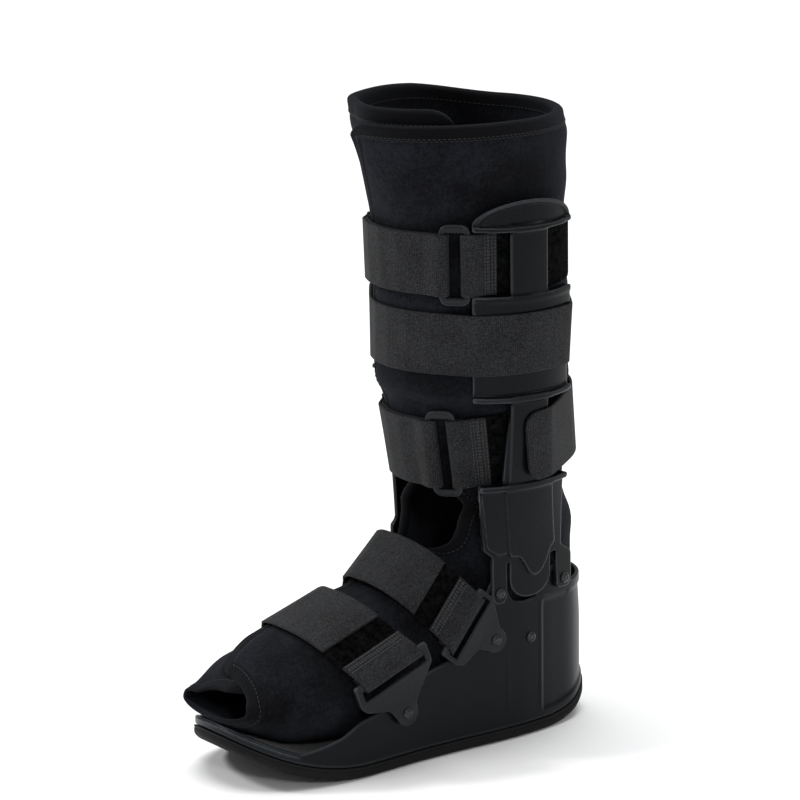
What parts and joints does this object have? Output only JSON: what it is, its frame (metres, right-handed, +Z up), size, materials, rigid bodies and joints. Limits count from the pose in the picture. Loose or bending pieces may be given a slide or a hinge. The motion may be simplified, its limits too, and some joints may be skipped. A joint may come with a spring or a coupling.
{
  "type": "medical walking boot",
  "caption": "Tall rocker-soled walking boot with a moulded base, side struts, a padded felt liner with overlapping flaps, and hook-and-pile straps.",
  "frame": {"origin": "on the flat of the sole, under the leg's centre line", "axes": "+Z up along the leg, -Y towards the toes, +X to the outer side of this left boot"},
  "size_m": [0.1418, 0.2746, 0.4],
  "materials": {
    "shell_plastic": "black moulded plastic with a fine satin grain",
    "strut_plastic": "satin blue-black moulded plastic",
    "sole_rubber": "matt black rubber",
    "footbed_foam": "dark grey closed-cell foam",
    "liner_felt": "blue-black brushed felt over foam, with a stitched binding",
    "grey_webbing": "charcoal grey woven webbing",
    "black_pile": "black fuzzy loop pile",
    "rivet_metal": "black lacquered rivet"
  },
  "bodies": {
    "root": {"base_shell": "shell_plastic", "outsole": "sole_rubber", "footbed": "footbed_foam", "liner": "liner_felt", "strut_outer": "strut_plastic", "strut_inner": "strut_plastic", "rivet_strut_front_outer": "rivet_metal", "rivet_strut_front_inner": "rivet_metal", "rivet_strut_rear_outer": "rivet_metal", "rivet_strut_rear_inner": "rivet_metal", "rivet_loop_rear_outer": "rivet_metal", "rivet_loop_rear_inner": "rivet_metal", "rivet_heel_outer": "rivet_metal", "rivet_heel_inner": "rivet_metal", "rivet_loop_front_outer": "rivet_metal", "rivet_loop_front_inner": "rivet_metal", "upper_pile_strap": "black_pile", "upper_strap": "grey_webbing", "upper_ring": "shell_plastic", "middle_strap": "grey_webbing", "ankle_pile_strap": "black_pile", "ankle_strap": "grey_webbing", "ankle_ring": "shell_plastic", "ankle_strap_end": "grey_webbing", "foot_loop_front_outer": "shell_plastic", "foot_loop_front_inner": "shell_plastic", "foot_loop_rear_outer": "shell_plastic", "foot_loop_rear_inner": "shell_plastic", "toe_pile_tab": "black_pile", "toe_strap": "grey_webbing", "instep_pile_tab": "black_pile", "instep_strap": "grey_webbing"}
  },
  "joints": []
}
